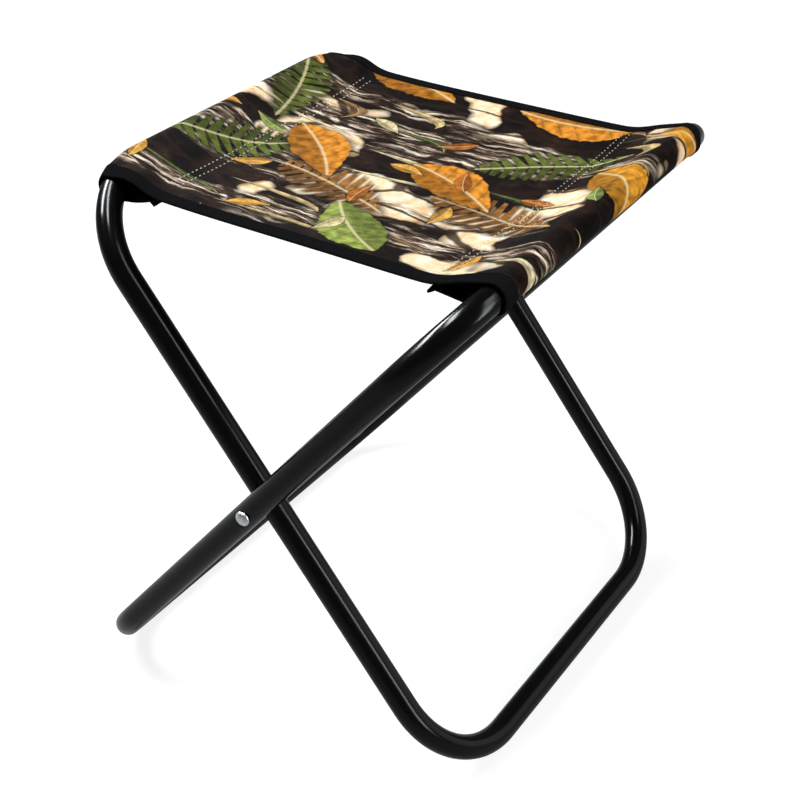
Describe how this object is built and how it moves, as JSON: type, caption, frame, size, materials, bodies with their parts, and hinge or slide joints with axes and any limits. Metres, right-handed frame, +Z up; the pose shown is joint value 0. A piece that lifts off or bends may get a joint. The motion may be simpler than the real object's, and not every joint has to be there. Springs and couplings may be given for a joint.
{
  "type": "folding camp stool",
  "caption": "Folding camp stool: two crossed tube hoops that turn on pivot rivets, with a patterned cloth sling seat sewn round the top bars.",
  "frame": {"origin": "on the floor, straight below the middle of the pivot axis", "axes": "+X across the seat from the inner hoop's top bar to the outer hoop's, +Y along the bars to the back, +Z up"},
  "size_m": [0.3268, 0.3958, 0.3919],
  "materials": {
    "black_enamel": "gloss black stove enamel on steel tube",
    "zinc": "bright zinc plate",
    "printed_cloth": "printed woven polyester, matt, in browns, tan, green and black",
    "black_tape": "black woven binding tape"
  },
  "bodies": {
    "outer_frame": {"outer_hoop_tube": "black_enamel", "outer_hoop_spigot": "zinc", "front_pivot_rivet": "zinc", "rear_pivot_rivet": "zinc", "front_spacer_washer": "zinc", "rear_spacer_washer": "zinc", "front_set_washer": "zinc", "rear_set_washer": "zinc", "seat_cloth": "printed_cloth", "front_edge_binding": "black_tape", "rear_edge_binding": "black_tape"},
    "inner_frame": {"inner_hoop_tube": "black_enamel", "inner_hoop_spigot": "zinc"}
  },
  "joints": [
    {"name": "fold", "type": "hinge", "parent": "outer_frame", "child": "inner_frame", "pos_m": [0, 0, 0.1958], "axis": [0, 1, 0], "range_deg": [0, 71], "deforming": ["seat_cloth", "front_edge_binding", "rear_edge_binding"]}
  ]
}
